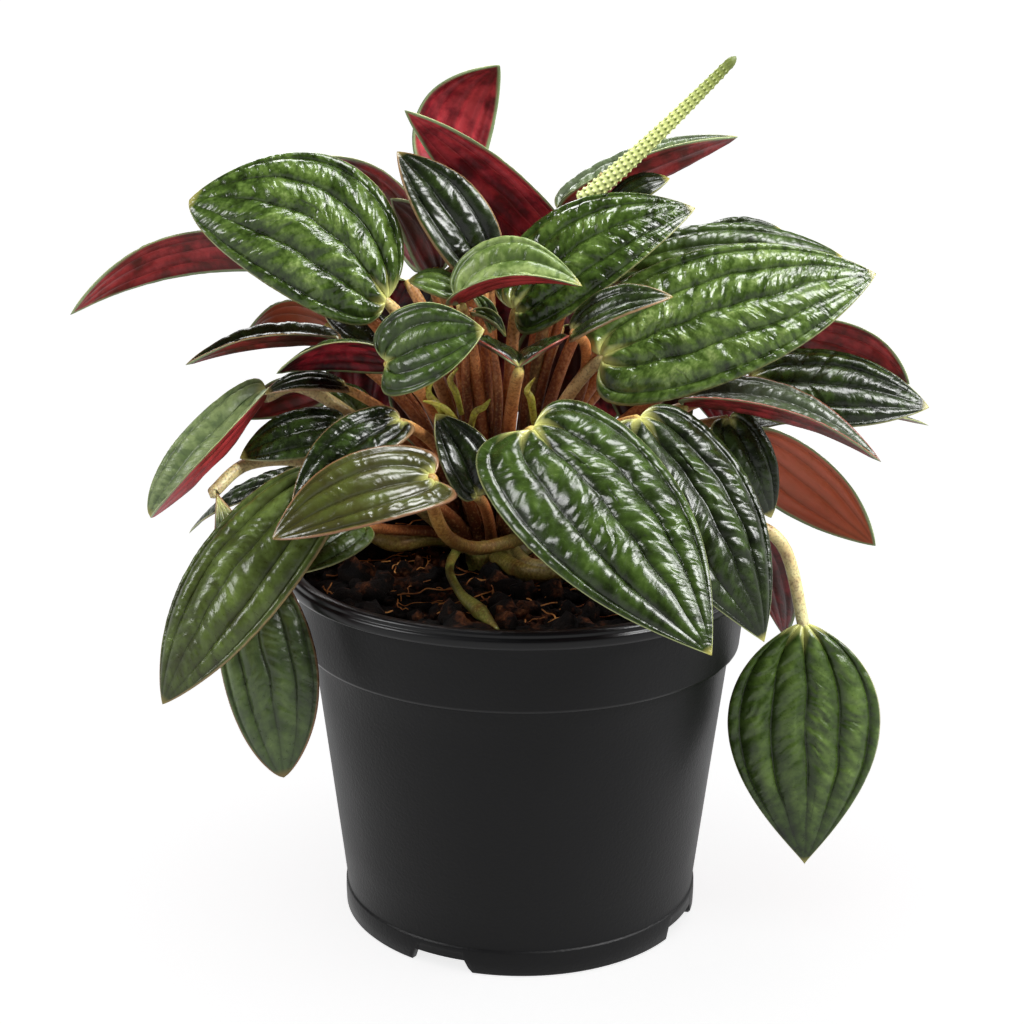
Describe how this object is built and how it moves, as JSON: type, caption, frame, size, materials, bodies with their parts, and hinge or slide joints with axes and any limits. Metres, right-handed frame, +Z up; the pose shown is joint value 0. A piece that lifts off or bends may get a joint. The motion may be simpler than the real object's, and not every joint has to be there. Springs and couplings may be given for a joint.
{
  "type": "potted peperomia",
  "caption": "Ripple-leaved peperomia with red leaf undersides and one slim flower spike, growing in a plain black round nursery pot.",
  "frame": {"origin": "on the pot's axis, at the height of the surface that the foot ring stands on", "axes": "+Z up along the pot's axis, -Y towards the side the picture shows, +X to the right in the picture"},
  "size_m": [0.2214, 0.1526, 0.217],
  "materials": {
    "pot": "satin",
    "soil": "matte",
    "stalk": "satin",
    "leaf": "satin",
    "spike": "matte"
  },
  "bodies": {
    "root": {"pot": "pot", "soil": "soil", "crown": "stalk", "flower_spike": "spike", "leaf_left_broad": "leaf", "leaf_far_left": "leaf", "leaf_left_behind": "leaf", "leaf_centre_upright": "leaf", "leaf_top_red": "leaf", "leaf_top_back": "leaf", "leaf_centre_glossy": "leaf", "leaf_centre_pale": "leaf", "leaf_heart_small": "leaf", "leaf_left_red": "leaf", "leaf_left_long": "leaf", "leaf_left_sliver": "leaf", "leaf_left_inner": "leaf", "leaf_left_drooping": "leaf", "leaf_left_narrow": "leaf", "leaf_left_low": "leaf", "leaf_left_shaded": "leaf", "leaf_front_left_hanging": "leaf", "leaf_front_left_broad": "leaf", "leaf_front_olive": "leaf", "leaf_front_dark": "leaf", "leaf_front_young": "leaf", "leaf_front_broad": "leaf", "leaf_front_right": "leaf", "leaf_right_broad": "leaf", "leaf_right_small": "leaf", "leaf_centre_cupped": "leaf", "leaf_by_spike": "leaf", "leaf_back_tip": "leaf", "leaf_right_back_short": "leaf", "leaf_right_back_long": "leaf", "leaf_right_red": "leaf", "leaf_right_dark": "leaf", "leaf_right_torn": "leaf", "leaf_right_rust": "leaf", "leaf_right_shaded": "leaf", "leaf_right_hanging": "leaf", "leaf_inner_maroon": "leaf", "leaf_inner_striped": "leaf", "leaf_inner_green": "leaf", "leaf_inner_right": "leaf", "leaf_rim_pale": "leaf", "leaf_rear_upper_1": "leaf", "leaf_rear_upper_2": "leaf", "leaf_rear_upper_3": "leaf", "leaf_rear_upper_4": "leaf", "leaf_rear_upper_5": "leaf", "leaf_rear_upper_6": "leaf", "leaf_rear_upper_7": "leaf", "leaf_rear_lower_1": "leaf", "leaf_rear_lower_2": "leaf", "leaf_rear_lower_3": "leaf", "leaf_rear_lower_4": "leaf", "leaf_rear_lower_5": "leaf"}
  },
  "joints": []
}
